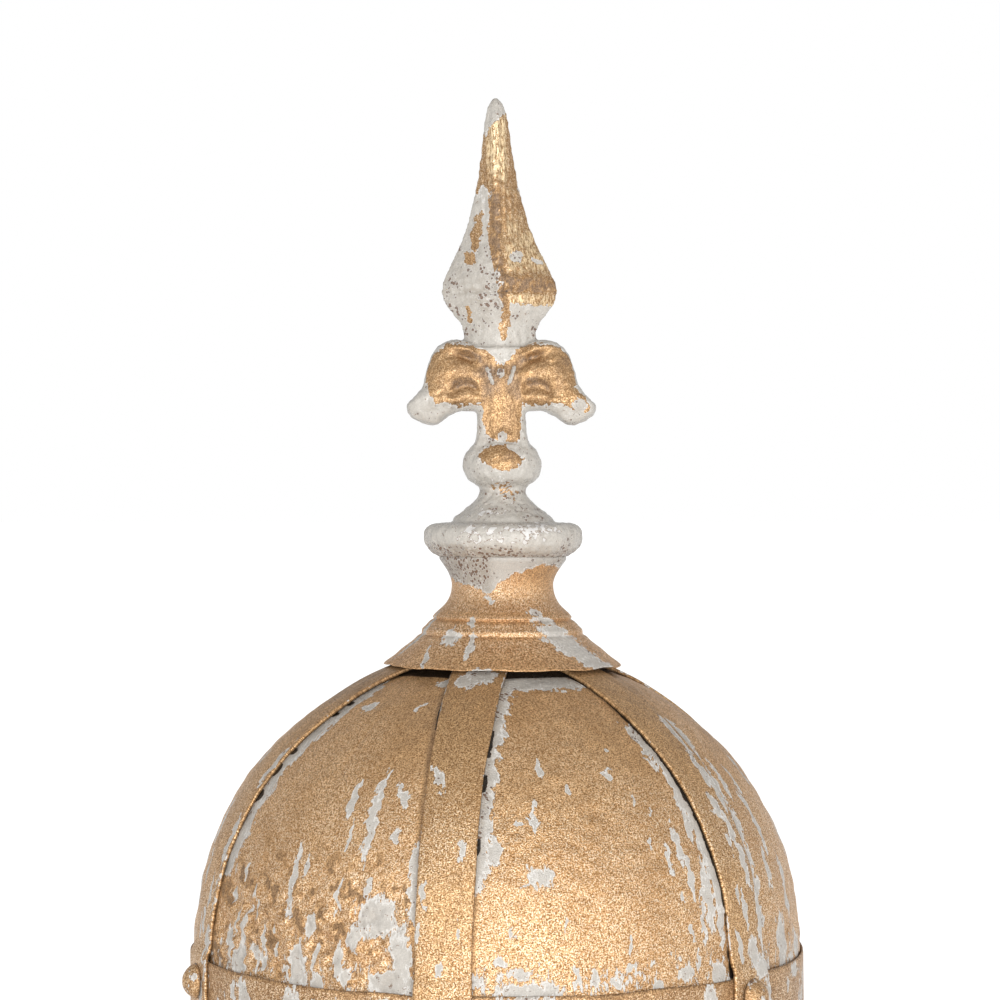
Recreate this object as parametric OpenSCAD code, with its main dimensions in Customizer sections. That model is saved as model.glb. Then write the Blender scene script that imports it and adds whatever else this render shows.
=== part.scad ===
// Roof finial: a dome of six sheet-iron gores standing in a band, six riveted straps over it,
// a spun crown cap on top and a cast spear finial on the cap.
// Sizes in mm. z = 0 is the underside of the band, the dome's axis is z, the front looks to -y.

/* [Base band] */
// Outside diameter of the band
band_outer_d = 305; // [240:1:400]
// Height of the band
band_height = 36; // [28:1:60]
// Thickness of the band's iron
band_thickness = 1.2; // [1:0.1:3]

/* [Dome sheets] */
// Height of the dome's centre above the top of the band, negative when it lies below
dome_rise = -3.5; // [-8:0.5:12]
// Thickness of the dome's sheet
sheet_thickness = 1.2; // [0.8:0.1:3]
// Gap between the sheets and the inside of the band
lap_clearance = 0.3; // [0.1:0.05:0.5]
// How far the sheets reach down inside the band
sheet_lap = 11; // [6:0.5:16]
// Gap between two neighbouring sheets, under their strap
seam_gap = 3; // [1:0.5:8]
// Radius of the hole the sheets leave under the crown cap
crown_hole_r = 42; // [36:1:48]

/* [Straps] */
// Number of straps, and of the sheets between them
strap_count = 6; // [4:1:8]
// Direction of the first strap, from the x axis
strap_turn = -99.3; // [-180:0.1:180]
// Width of a strap
strap_width = 27; // [16:0.5:32]
// Thickness of a strap
strap_thickness = 1.5; // [1:0.1:3]
// Gap between a strap and what it lies on
strap_clearance = 0.2; // [0.1:0.05:0.3]
// Height of a strap's foot above the underside of the band
strap_foot_z = 2; // [1:0.5:6]
// Height over which a strap bends from the band in to the dome
strap_bend = 14; // [8:1:22]
// Radius at which the straps end under the crown cap
strap_top_r = 38; // [34:1:44]

/* [Rivets] */
// Distance of the rivets below the top of the band
rivet_drop = 9.3; // [8:0.1:14]
// Radius of a rivet's domed head
rivet_head_r = 8.2; // [6:0.1:12]
// Height of a rivet's head
rivet_head_h = 6.8; // [3:0.1:8]
// Radius of a rivet's shank
rivet_shank_r = 4; // [2.5:0.5:5]
// Gap all round a rivet's shank
rivet_clearance = 0.15; // [0.05:0.05:0.3]

/* [Crown cap] */
// Radius of the cap's rim, where it stands on the straps
cap_rim_r = 60; // [50:1:72]
// Height of the cap from its rim to its top
cap_height = 55; // [44:1:72]
// Radius of the lower bead above the skirt
cap_bead_r = 40.6; // [36:0.2:44]
// Radius of the cap's waist
cap_waist_r = 25.7; // [20:0.1:30]
// Radius of the cap's top
cap_top_r = 32; // [28:0.5:36]
// Thickness of the cap's sheet
cap_thickness = 1.2; // [0.8:0.1:2]
// Distance by which the cap has slipped sideways on the dome
cap_slip = 2; // [0:0.1:4]
// Angle by which the slipped cap tilts
cap_tilt = 0.3; // [0:0.1:2]

/* [Cast baluster] */
// Radius of the collar disc
collar_r = 40.2; // [34:0.2:48]
// Thickness of the collar disc
collar_h = 16.4; // [10:0.2:22]
// Radius of the shoulder above the disc
shoulder_r = 25; // [20:0.5:30]
// Height of the shoulder and neck, from the disc to the knob
neck_h = 19; // [14:0.5:26]
// Radius of the neck
neck_r = 11.5; // [9:0.5:14]
// Radius of the knob
knob_r = 19.8; // [16:0.2:24]
// Height of the knob
knob_h = 20; // [14:0.5:24]

/* [Leaf cross] */
// Width of the stem below the leaves
stem_width = 25; // [20:0.2:32]
// Depth of the stem, front to back
stem_depth = 23; // [18:0.5:30]
// Height of the leaves' tips above the knob
leaf_z = 9.7; // [6:0.1:20]
// Height of a leaf, from its tip's underside to its crest
leaf_h = 43; // [36:0.5:56]
// Reach of a leaf's tip from the axis
leaf_reach = 47.3; // [38:0.1:60]
// Depth of a leaf, front to back
leaf_depth = 28; // [22:0.5:36]
// Radius of the round hollows in the leaves
hollow_r = 8; // [5:0.5:10]
// Depth of the round hollows
hollow_depth = 3; // [1:0.5:5]

/* [Spear] */
// Length of the spear, from its waist to its tip
spear_length = 118.6; // [90:0.2:150]
// Half width of the spear's waist
spear_waist = 18; // [14:0.5:22]
// Half width of the spear's belt
spear_belt = 29; // [24:0.5:34]
// Height of the belt above the waist
spear_belt_z = 26; // [20:0.5:34]
// Half width of the blade at its middle
spear_mid = 10.6; // [8:0.2:14]
// Half width of the blade just below the tip
spear_end = 4.3; // [3:0.1:6]
// Depth of the spear against its width, at the belt
spear_flat = 0.56; // [0.4:0.02:0.8]
// Angle by which the casting leans from its collar up
spear_lean = -1.3; // [-4:0.1:4]

/* [Hidden] */
$fn = 96;
gilt = [0.72, 0.53, 0.32];
primer = [0.80, 0.77, 0.72];
step_angle = 360 / strap_count;
band_ro = band_outer_d / 2;
band_ri = band_ro - band_thickness;
dome_z = band_height + dome_rise;
sheet_ro = band_ri - lap_clearance;
sheet_ri = sheet_ro - sheet_thickness;
strap_ri = sheet_ro + strap_clearance;
strap_ro = strap_ri + strap_thickness;
foot_ri = band_ro + strap_clearance;
foot_ro = foot_ri + strap_thickness;
rivet_z = band_height - rivet_drop;
arc_steps = 30;
cap_seat_r = cap_rim_r - cap_thickness - cap_slip;
cap_rim_z = dome_z + sqrt(pow(strap_ro + 0.05, 2) - pow(cap_seat_r, 2));
cap_top_z = cap_rim_z + cap_height;
knob_z = cap_top_z + collar_h + neck_h;
stem_z = knob_z + knob_h;
leaf_foot = stem_z + leaf_z;
waist_z = leaf_foot + leaf_h + 2;

// Points on a circle about the dome's centre, from height z0 up to where its radius is r1.
function arc(r, z0, r1) =
    let (a0 = asin((z0 - dome_z) / r), a1 = acos(r1 / r))
    [for (i = [0:arc_steps])
        let (a = a0 + (a1 - a0) * i / arc_steps)
        [r * cos(a), dome_z + r * sin(a)]];

// A point on the smooth curve from b to c, with a and d the points either side of them.
function between(a, b, c, d, t) =
    0.5 * (2 * b + (c - a) * t + (2 * a - 5 * b + 4 * c - d) * t * t
        + (3 * b - a - 3 * c + d) * t * t * t);

// A smooth curve through the points p, in n steps from each to the next.
function curve(p, n) = concat(
    [for (i = [0:len(p) - 2], j = [0:n - 1])
        between(p[max(i - 1, 0)], p[i], p[i + 1], p[min(i + 2, len(p) - 1)], j / n)],
    [p[len(p) - 1]]);

function reversed(p) = [for (i = [len(p) - 1:-1:0]) p[i]];

// Radius and height of the cap's outside, from the rim up: skirt, two beads, cavetto, top.
function cap_side(h, bead, waist) = concat(
    curve([
        [cap_rim_r, 0],
        [cap_rim_r - 0.8, 0.02 * h],
        [cap_rim_r - 5.5, 0.085 * h],
        [0.48 * cap_rim_r + 0.52 * bead, 0.158 * h],
        [bead + 4.2, 0.23 * h],
        [bead + 1.9, 0.267 * h]
    ], 4),
    [
        [bead - 0.6, 0.285 * h],
        [bead, 0.31 * h],
        [bead - 0.6, 0.34 * h],
        [bead - 2, 0.365 * h],
        [bead - 2.9, 0.385 * h],
        [bead - 4.4, 0.41 * h],
        [bead - 6.1, 0.425 * h],
        [bead - 5.7, 0.45 * h],
        [bead - 6.9, 0.475 * h]
    ],
    curve([
        [bead - 8, 0.495 * h],
        [waist + 3.3, 0.558 * h],
        [waist + 1, 0.63 * h],
        [waist, 0.72 * h],
        [waist + 0.3, 0.776 * h],
        [waist + 2, 0.85 * h],
        [cap_top_r - 1.8, 0.92 * h],
        [cap_top_r, 0.965 * h],
        [cap_top_r, h]
    ], 4));

// Radius and height of the collar's edge above the cap.
collar_side = curve([
    [collar_r - 5.2, 0],
    [collar_r - 2.2, 0.12 * collar_h],
    [collar_r - 0.2, 0.34 * collar_h],
    [collar_r, 0.66 * collar_h],
    [collar_r - 1.4, 0.88 * collar_h],
    [collar_r - 5.5, collar_h]
], 4);

// Radius and height of the baluster's outside above the cap: shoulder, neck and knob.
baluster_side = concat(
    curve([
        [shoulder_r + 0.4, collar_h - 2],
        [shoulder_r + 0.4, collar_h + 0.5],
        [shoulder_r - 0.6, collar_h + 0.09 * neck_h],
        [shoulder_r - 2.2, collar_h + 0.20 * neck_h],
        [0.46 * shoulder_r + 0.54 * neck_r, collar_h + 0.42 * neck_h],
        [neck_r + 0.9, collar_h + 0.64 * neck_h],
        [neck_r, collar_h + 0.82 * neck_h],
        [neck_r + 0.8, collar_h + 0.97 * neck_h]
    ], 4),
    curve([
        [0.4 * neck_r + 0.5 * knob_r, collar_h + neck_h],
        [0.92 * knob_r, collar_h + neck_h + 0.22 * knob_h],
        [knob_r, collar_h + neck_h + 0.5 * knob_h],
        [0.94 * knob_r, collar_h + neck_h + 0.74 * knob_h],
        [0.78 * knob_r, collar_h + neck_h + 0.95 * knob_h],
        [0.62 * knob_r, collar_h + neck_h + knob_h + 0.4]
    ], 4));

// Half width and height of the spear's outline, from inside the cross up to its tip.
spear_side = concat(
    curve([
        [0.62 * spear_waist, waist_z - 15],
        [0.92 * spear_waist, waist_z - 5],
        [spear_waist, waist_z],
        [spear_waist + 2.2, waist_z + 0.35 * spear_belt_z],
        [spear_waist + 6, waist_z + 0.52 * spear_belt_z],
        [spear_belt - 1.6, waist_z + 0.68 * spear_belt_z],
        [spear_belt, waist_z + 0.88 * spear_belt_z]
    ], 2),
    [
        [spear_belt - 1.2, waist_z + 0.97 * spear_belt_z],
        [spear_belt, waist_z + 1.05 * spear_belt_z]
    ],
    curve([
        [spear_belt - 2, waist_z + 1.25 * spear_belt_z],
        [0.54 * spear_belt + 0.46 * spear_mid, waist_z + 0.37 * spear_length],
        [0.25 * spear_belt + 0.75 * spear_mid, waist_z + 0.48 * spear_length],
        [spear_mid, waist_z + 0.64 * spear_length],
        [0.5 * (spear_mid + spear_end), waist_z + 0.82 * spear_length],
        [spear_end, waist_z + 0.945 * spear_length]
    ], 3),
    [[0.6 * spear_end, waist_z + 0.985 * spear_length]]);

// Outline of the leaf on the +x side, round from its crest: across is x, up is z.
leaf_side =
    let (w = leaf_reach, h = leaf_h)
    curve([
        [0.10 * w, 0.74 * h],
        [0.21 * w, 0.91 * h],
        [0.36 * w, h],
        [0.55 * w, 0.99 * h],
        [0.70 * w, 0.87 * h],
        [0.785 * w, 0.64 * h],
        [0.82 * w, 0.46 * h],
        [0.91 * w, 0.33 * h],
        [w, 0.24 * h],
        [0.985 * w, 0.13 * h],
        [0.87 * w, 0.04 * h],
        [0.71 * w, 0],
        [0.58 * w, 0.09 * h],
        [0.45 * w, 0.16 * h],
        [0.30 * w, 0.16 * h],
        [0.12 * w, 0.10 * h],
        [0.08 * w, 0.40 * h],
        [0.10 * w, 0.74 * h]
    ], 2);

// Everything drawn inside it moves with the slipped cap.
module slipped() {
    translate([cap_slip, 0, dome_z])
        rotate([0, cap_tilt, 0])
            translate([0, 0, -dome_z])
                children();
}

// The straps' direction number i, counted from the front towards +x.
module at_strap(i) {
    rotate([0, 0, strap_turn + i * step_angle])
        children();
}

module shank_hole(r) {
    translate([band_ri - 5, 0, rivet_z])
        rotate([0, 90, 0])
            cylinder(h = 20, r = r);
}

module base_band() {
    color(gilt)
        difference() {
            cylinder(h = band_height, r = band_ro);
            translate([0, 0, -1])
                cylinder(h = band_height + 2, r = band_ri);
            for (i = [0:strap_count - 1])
                at_strap(i)
                    shank_hole(rivet_shank_r + rivet_clearance);
        }
}

// The sheet to the anticlockwise side of strap i, seen from above.
module gore(i) {
    apex = seam_gap / 2 / sin(step_angle / 2);
    far = band_outer_d;
    color(gilt)
        intersection() {
            at_strap(i)
                rotate_extrude(angle = step_angle)
                    polygon(concat(
                        arc(sheet_ro, band_height - sheet_lap, crown_hole_r),
                        reversed(arc(sheet_ri, band_height - sheet_lap, crown_hole_r))));
            at_strap(i + 0.5)
                translate([apex, 0, 0])
                    linear_extrude(height = dome_z + far)
                        polygon([
                            [0, 0],
                            [far * cos(step_angle / 2), -far * sin(step_angle / 2)],
                            [2 * far, 0],
                            [far * cos(step_angle / 2), far * sin(step_angle / 2)]
                        ]);
        }
}

module rib(i) {
    spread = 2 * asin(min(0.95, strap_width / 2 / strap_top_r)) + 4;
    bend_z = dome_z + strap_bend;
    color(gilt)
        at_strap(i)
            difference() {
                intersection() {
                    rotate([0, 0, -spread / 2])
                        rotate_extrude(angle = spread)
                            polygon(concat(
                                [[foot_ro, strap_foot_z], [foot_ro, band_height + 2]],
                                arc(strap_ro, bend_z, strap_top_r),
                                reversed(arc(strap_ri, bend_z, strap_top_r)),
                                [[foot_ri, band_height + 2], [foot_ri, strap_foot_z]]));
                    translate([0, -strap_width / 2, 0])
                        cube([band_outer_d, strap_width, dome_z + band_outer_d]);
                }
                shank_hole(rivet_shank_r + rivet_clearance);
            }
}

module rivet(i) {
    dome_r = (pow(rivet_head_r, 2) + pow(rivet_head_h, 2)) / (2 * rivet_head_h);
    color(gilt)
        at_strap(i)
            translate([foot_ro, 0, rivet_z])
                rotate([0, 90, 0]) {
                    intersection() {
                        translate([0, 0, rivet_head_h - dome_r])
                            sphere(r = dome_r);
                        cylinder(h = 2 * dome_r, r = 2 * dome_r);
                    }
                    translate([0, 0, band_ri - foot_ro])
                        cylinder(h = foot_ro - band_ri + 1, r = rivet_shank_r);
                }
}

module crown_cap() {
    side = cap_side(cap_height, cap_bead_r, cap_waist_r);
    color(gilt)
        slipped()
            translate([0, 0, cap_rim_z])
                rotate_extrude()
                    difference() {
                        polygon(concat([[0, 0]], side, [[0, cap_height]]));
                        intersection() {
                            offset(delta = -cap_thickness)
                                polygon(concat(
                                    [[-50, -50], [cap_rim_r, -50]],
                                    side,
                                    [[-50, cap_height]]));
                            translate([0, -1])
                                square([cap_rim_r, cap_height]);
                        }
                    }
}

// A leaf, swelling from its outline to a rounded front and back.
module leaf() {
    n = len(leaf_side) - 1;
    mid = [0.46 * leaf_reach, 0.52 * leaf_h];
    turns = [-90, -68, -45, -22, 0, 22, 45, 68, 90];
    rings = len(turns);
    points = concat(
        [for (a = turns, i = [0:n - 1])
            let (s = 0.58 + 0.42 * pow(cos(a), 0.8), p = mid + (leaf_side[i] - mid) * s)
            [p[0], leaf_depth / 2 * sin(a) * 0.92, p[1]]],
        [[mid[0], -leaf_depth / 2, mid[1]], [mid[0], leaf_depth / 2, mid[1]]]);
    faces = concat(
        [for (k = [0:rings - 2], i = [0:n - 1])
            [k * n + i, (k + 1) * n + i, (k + 1) * n + (i + 1) % n]],
        [for (k = [0:rings - 2], i = [0:n - 1])
            [k * n + i, (k + 1) * n + (i + 1) % n, k * n + (i + 1) % n]],
        [for (i = [0:n - 1]) [rings * n, i, (i + 1) % n]],
        [for (i = [0:n - 1])
            [rings * n + 1, (rings - 1) * n + (i + 1) % n, (rings - 1) * n + i]]);
    difference() {
        polyhedron(points, faces);
        for (side = [-1, 1], at = [[0.40, 0.73], [0.42, 0.42]])
            translate([
                at[0] * leaf_reach,
                side * (leaf_depth / 2 + hollow_r - hollow_depth),
                at[1] * leaf_h
            ])
                sphere(r = hollow_r);
    }
}

// The four-edged blade: each level is a rounded lozenge, flatter at the belt than at the tip.
module blade() {
    n = 20;
    m = len(spear_side);
    top_z = waist_z + spear_length;
    points = concat(
        [for (s = spear_side, j = [0:n - 1])
            let (
                a = 360 * j / n,
                up = max(0, (s[1] - waist_z - spear_belt_z) / (top_z - waist_z - spear_belt_z)),
                flat = spear_flat + (1 - spear_flat) * pow(up, 0.8),
                c = cos(a),
                q = sin(a)
            )
            [
                s[0] * sign(c) * pow(abs(c), 1.3),
                s[0] * flat * sign(q) * pow(abs(q), 1.3),
                s[1]
            ]],
        [[0, 0, spear_side[0][1]], [0, 0, top_z]]);
    faces = concat(
        [for (k = [0:m - 2], j = [0:n - 1])
            [k * n + j, (k + 1) * n + j, (k + 1) * n + (j + 1) % n]],
        [for (k = [0:m - 2], j = [0:n - 1])
            [k * n + j, (k + 1) * n + (j + 1) % n, k * n + (j + 1) % n]],
        [for (j = [0:n - 1]) [m * n, j, (j + 1) % n]],
        [for (j = [0:n - 1]) [m * n + 1, (m - 1) * n + (j + 1) % n, (m - 1) * n + j]]);
    polyhedron(points, faces);
}

module spear_finial() {
    knob_top = baluster_side[len(baluster_side) - 1][1];
    color(primer)
        slipped() {
            translate([0, 0, cap_top_z])
                rotate_extrude()
                    polygon(concat([[0, 0]], collar_side, [[0, collar_h]]));
            translate([0, 0, cap_top_z + collar_h])
                rotate([0, spear_lean, 0])
                    translate([0, 0, -cap_top_z - collar_h]) {
                        translate([0, 0, cap_top_z])
                            rotate_extrude()
                                polygon(concat(
                                    [[0, collar_h - 2]],
                                    baluster_side,
                                    [[0, knob_top]]));
                        translate([-stem_width / 2, -stem_depth / 2, stem_z - 4])
                            cube([stem_width, stem_depth, leaf_z + 0.8 * leaf_h + 4]);
                        for (side = [0, 1])
                            mirror([side, 0, 0])
                                translate([0, 0, leaf_foot])
                                    leaf();
                        blade();
                    }
        }
}

base_band();
for (i = [1:strap_count]) {
    gore(i - 1);
    rib(i - 1);
    rivet(i - 1);
}
crown_cap();
spear_finial();
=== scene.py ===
"""The looks of a gilt roof finial.

Every piece is a numpy grid surface. A ring or a turned part is a profile of (radius, height) points
carried round the axis. A sheet of the dome and a strap are each a closed outline, outside face and
inside face, carried up the meridian of a sphere. Each surface is shifted along its normal by a sum
of slow sine waves, the dents of hand work. Chips in the gilding are soft ellipses, given as
direction round the axis, height, half width and half length; the largest at a point is its
attribute "worn", and the material cuts it off sharply with noise, so that the grey primer shows.
The grime attribute is dark patina in the same way, and painted shade where it darkens the top of the dome
and straps, the sheets along the straps, under the cap's rim, the rivets' feet and under the casting's disc
and knob; below zero it is gilding kept bright, partly a painted highlight on the spear, or pale flakes of
thick paint on bare primer that are partly painted highlights, and above 1.25 painted black, the shadow in
a gap. "lay" is the place across and along the metal in mm, which turns the brush streaks up the meridian.
The casting is several closed grids, fused into one skin by a voxel remesh and smoothed; that skin is then
shifted and marked in the same way.
"""
import bpy
import math
import numpy as np
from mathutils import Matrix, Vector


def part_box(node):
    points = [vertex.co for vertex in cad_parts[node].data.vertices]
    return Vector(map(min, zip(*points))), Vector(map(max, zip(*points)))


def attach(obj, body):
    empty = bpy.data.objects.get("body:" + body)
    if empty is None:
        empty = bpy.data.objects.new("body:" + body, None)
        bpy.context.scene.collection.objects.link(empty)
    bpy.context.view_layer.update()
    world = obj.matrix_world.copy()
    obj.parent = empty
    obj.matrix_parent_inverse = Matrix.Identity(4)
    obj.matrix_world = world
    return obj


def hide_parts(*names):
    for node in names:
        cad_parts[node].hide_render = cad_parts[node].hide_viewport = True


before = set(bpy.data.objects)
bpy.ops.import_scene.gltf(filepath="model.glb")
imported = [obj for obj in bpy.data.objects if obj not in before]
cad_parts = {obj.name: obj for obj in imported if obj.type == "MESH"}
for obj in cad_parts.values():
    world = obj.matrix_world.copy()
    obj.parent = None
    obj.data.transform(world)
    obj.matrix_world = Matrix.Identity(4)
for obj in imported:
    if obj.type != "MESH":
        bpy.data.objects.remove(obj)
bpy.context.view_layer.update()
scene = bpy.context.scene

# ---------------------------------------------------------------- studio
# Camera level with the lower third of the finial, in front of it.
camera = bpy.data.objects.new("camera", bpy.data.cameras.new("camera"))
scene.collection.objects.link(camera)
camera.data.lens, camera.data.sensor_width = 99.4, 36
camera.location = (0.0015, -1.38, 0.257)
camera.rotation_euler = (math.pi / 2, 0, 0)
scene.camera = camera
scene.view_settings.view_transform = "Standard"


def wire(tree, source, *targets):
    """Joins one output to any number of inputs."""
    for t in targets:
        tree.links.new(source, t)
    return source


def maths(tree, operation, *values, clamp=False):
    """A Math node; each value is a number or an output."""
    n = tree.nodes.new("ShaderNodeMath")
    n.operation, n.use_clamp = operation, clamp
    for i, v in enumerate(values):
        if isinstance(v, (int, float)):
            n.inputs[i].default_value = v
        else:
            tree.links.new(v, n.inputs[i])
    return n.outputs[0]


def step_up(tree, value, low, high, to_low=0.0, to_high=1.0):
    """A smooth step of value from low to high."""
    n = tree.nodes.new("ShaderNodeMapRange")
    n.interpolation_type = "SMOOTHSTEP"
    tree.links.new(value, n.inputs["Value"])
    for key, v in (("From Min", low), ("From Max", high), ("To Min", to_low), ("To Max", to_high)):
        n.inputs[key].default_value = v
    return n.outputs["Result"]


def mixed(tree, factor, a, b, blend="MIX"):
    """A colour mix; a and b are outputs or colours."""
    n = tree.nodes.new("ShaderNodeMix")
    n.data_type, n.blend_type = "RGBA", blend
    for socket, v in ((n.inputs[0], factor), (n.inputs[6], a), (n.inputs[7], b)):
        if isinstance(v, (int, float)):
            socket.default_value = v
        elif isinstance(v, tuple):
            socket.default_value = v + (1,)
        else:
            tree.links.new(v, socket)
    return n.outputs[2]


def noise(tree, vector, scale, detail=2.0, rough=0.5, out=0):
    """A noise texture at scale per unit of vector."""
    n = tree.nodes.new("ShaderNodeTexNoise")
    n.inputs["Scale"].default_value = scale
    n.inputs["Detail"].default_value = detail
    n.inputs["Roughness"].default_value = rough
    tree.links.new(vector, n.inputs["Vector"])
    return n.outputs[out]


# The world is white to the camera; what lights the object is brightest from in front, dim overhead.
world = bpy.data.worlds.new("studio")
scene.world = world
world.use_nodes = True
wt = world.node_tree
sky = wt.nodes["Background"]
ways = wt.nodes.new("ShaderNodeSeparateXYZ")
wire(wt, wt.nodes.new("ShaderNodeTexCoord").outputs["Generated"], ways.inputs[0])
front = step_up(wt, maths(wt, "MULTIPLY", ways.outputs["Y"], -1.0), -0.7, 0.9, 0.72, 1.0)
above = step_up(wt, ways.outputs["Z"], 0.05, 0.9, 1.0, 0.58)
seen = wt.nodes.new("ShaderNodeLightPath").outputs["Is Camera Ray"]
wire(wt, maths(wt, "MAXIMUM", maths(wt, "MULTIPLY", front, above), seen), sky.inputs["Strength"])
sky.inputs["Color"].default_value = (1, 1, 1, 1)

# One wide soft lamp in front, low and a little to the right.
lamp = bpy.data.objects.new("lamp", bpy.data.lights.new("lamp", "AREA"))
scene.collection.objects.link(lamp)
lamp.data.shape, lamp.data.size, lamp.data.size_y = "RECTANGLE", 1.9, 0.6
lamp.data.energy = 31
lamp.location = (0.15, -1.6, 0.10)
lamp.rotation_euler = (math.radians(90), 0, math.radians(5))

# The floor: white as far as it is seen, with the object's soft shadow.
floor = bpy.data.objects.new("floor", bpy.data.meshes.new("floor"))
floor.data.from_pydata(
    [(-30, -30, -0.0002), (30, -30, -0.0002), (30, 30, -0.0002), (-30, 30, -0.0002)], [], [(0, 1, 2, 3)])
scene.collection.objects.link(floor)
paper = bpy.data.materials.new("paper")
paper.use_nodes = True
pt = paper.node_tree
shade = pt.nodes["Principled BSDF"]
shade.inputs["Base Color"].default_value = (0.5, 0.5, 0.5, 1)
shade.inputs["Roughness"].default_value = 1
shade.inputs["Specular IOR Level"].default_value = 0
shade.inputs["Emission Color"].default_value = (1, 1, 1, 1)
wire(pt, step_up(pt, pt.nodes.new("ShaderNodeLightPath").outputs["Is Camera Ray"], 0.0, 1.0, 0.62, 0.86),
     shade.inputs["Emission Strength"])
floor.data.materials.append(paper)

# ---------------------------------------------------------------- base band
# The band: a hoop of thin rolled iron, its top edge a little uneven, gilded over grey primer.
# It is the ground that the sheets stand in and that the straps are riveted to.
MM = 0.001


def piece(name, points, faces, **values):
    """A mesh from points in mm, quads or other faces, and its point attributes."""
    mesh = bpy.data.meshes.new(name)
    counts = np.concatenate([np.full(len(f), f.shape[1]) for f in faces])
    loops = np.concatenate([f.ravel() for f in faces]).astype(np.int32)
    mesh.vertices.add(len(points))
    mesh.vertices.foreach_set("co", (points * MM).astype(np.float32).ravel())
    mesh.loops.add(len(loops))
    mesh.loops.foreach_set("vertex_index", loops)
    mesh.polygons.add(len(counts))
    mesh.polygons.foreach_set("loop_start", np.concatenate([[0], np.cumsum(counts)[:-1]]).astype(np.int32))
    mesh.update(calc_edges=True)
    mesh.polygons.foreach_set("use_smooth", np.ones(len(counts), bool))
    for key, v in values.items():
        vector = v.ndim == 2
        a = mesh.attributes.new(key, "FLOAT_VECTOR" if vector else "FLOAT", "POINT")
        a.data.foreach_set("vector" if vector else "value", v.astype(np.float32).ravel())
    o = bpy.data.objects.new(name, mesh)
    scene.collection.objects.link(o)
    return o


def cells(rows, cols, close_rows=False, close_cols=False):
    """Quads of a grid of rows x cols points, joined round if closed."""
    r = np.arange(rows if close_rows else rows - 1)[:, None]
    c = np.arange(cols if close_cols else cols - 1)[None, :]
    r1, c1 = (r + 1) % rows, (c + 1) % cols
    return np.stack([r * cols + c, r * cols + c1, r1 * cols + c1, r1 * cols + c], -1).reshape(-1, 4)


def ripple(p, size, seed, waves=9):
    """Slow unevenness of about one, with waves near size mm, at the points p."""
    rng = np.random.default_rng(seed)
    way = rng.normal(size=(waves, 3))
    way *= (2 * math.pi / size * rng.uniform(0.6, 1.7, waves) / np.linalg.norm(way, axis=1))[:, None]
    return np.sin(p @ way.T + rng.uniform(0, 6.28, waves)).sum(-1) / math.sqrt(waves)


def smooth(x, low, high):
    """A smooth step of x from low to high."""
    t = np.clip((x - low) / (high - low), 0, 1)
    return t * t * (3 - 2 * t)


def bell(x, width):
    """A bump of height one at x = 0 that has sunk to 1/e at width."""
    return np.exp(-(x / width) ** 2)


def strayed(p, seed, much=1.0):
    """Two shifts in mm that pull the marks out of shape."""
    return [much * (0.8 * ripple(p, 11, seed + k) + 0.55 * ripple(p, 5, seed + 2 + k)
                    + 0.25 * ripple(p, 2.6, seed + 4 + k)) for k in (0, 1)]


def chips(across, up, marks, stray=(0, 0)):
    """The largest of soft ellipses: each mark is (across, up, half width, half length, lean)."""
    most = np.zeros(np.broadcast(across, up).shape)
    for a, u, w, h, *lean in marks:
        dx, dy = across - a + stray[0], up - u + 1.6 * stray[1]
        dx = dx + (lean[0] if lean else 0) * dy
        most = np.maximum(most, 1.15 - 0.65 * np.hypot(dx / w, dy / h))
    return most


def polar(azimuth, radius, z):
    """Points at azimuth degrees from the front towards +x."""
    a = np.radians(azimuth)
    return np.stack(np.broadcast_arrays(radius * np.sin(a), -radius * np.cos(a), z), -1)


band_hi = np.array(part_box("base_band")[1]) / MM
band_r, band_h = band_hi[0], band_hi[2]
band_wall = 1.2
mm_turn = 2.66  # mm round the band for each degree
rivets = [sum((np.array(v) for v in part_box(f"rivet_{i}")), np.zeros(3)) / 2 / MM for i in range(1, 7)]
turns = [math.degrees(math.atan2(c[0], -c[1])) for c in rivets]
rivet_z = rivets[0][2]

n = 480
around = np.arange(n) * 360 / n
t = np.linspace(0, 1, 26)[1:-1]
side = np.concatenate([
    np.stack([np.full(24, band_r - 0.05), 0.6 + (band_h - 1.2) * t], 1),
    [[band_r - 0.25, band_h - 0.2], [band_r - 0.6, band_h], [band_r - 1.0, band_h - 0.2]],
    np.stack([np.full(8, band_r - band_wall), band_h - 0.8 - (band_h - 1.6) * np.linspace(0, 1, 8)], 1),
    [[band_r - 1.0, 0.1], [band_r - 0.6, 0], [band_r - 0.15, 0.2]]])
p = polar(around[None, :], side[:, 0][:, None], side[:, 1][:, None])
flat = np.broadcast_to(around[None, :], p.shape[:2])
edge = ripple(np.stack([p[..., 0], p[..., 1], 0 * p[..., 0]], -1), 60, 3)
raised = smooth(flat, 282, 292) * (1 - smooth(flat, 300, 312))
p[..., 2] += smooth(p[..., 2], band_h * 0.5, band_h) * (0.5 * edge + raised)
inward = 0.12 * (1.6 + ripple(p, 22, 5)) / band_r
p[..., :2] *= (1 - inward)[..., None]
turn = (flat + 180) % 360 - 180
band_marks = [
    (-54, 27, 2.5, 5), (-50, 25, 5, 9, .3), (-38, 27, 6, 6), (-33, 20, 3, 9), (-28, 24, 3, 6),
    (-18, 31, 10, 3), (-57, 20, 1.2, 7), (-60, 15, 1.6, 8), (-14, 15, 3, 4), (5, 34, 15, 2.6),
    (20, 14, 4, 5), (40, 30, 4, 5), (57, 26, 3, 9), (70, 31, 6, 3), (78, 20, 2, 10), (66, 24, 1.5, 8),
    (100, 25, 8, 5), (130, 30, 12, 3), (165, 22, 4, 8), (-100, 30, 9, 4), (-140, 24, 6, 7),
    (-165, 30, 5, 3)]
worn = chips(turn * mm_turn, p[..., 2], [(a * mm_turn, *rest) for a, *rest in band_marks],
             strayed(p, 400))
worn = np.maximum(worn, 0.42 * smooth(ripple(p, 40, 8), 0.2, 1.6))
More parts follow.
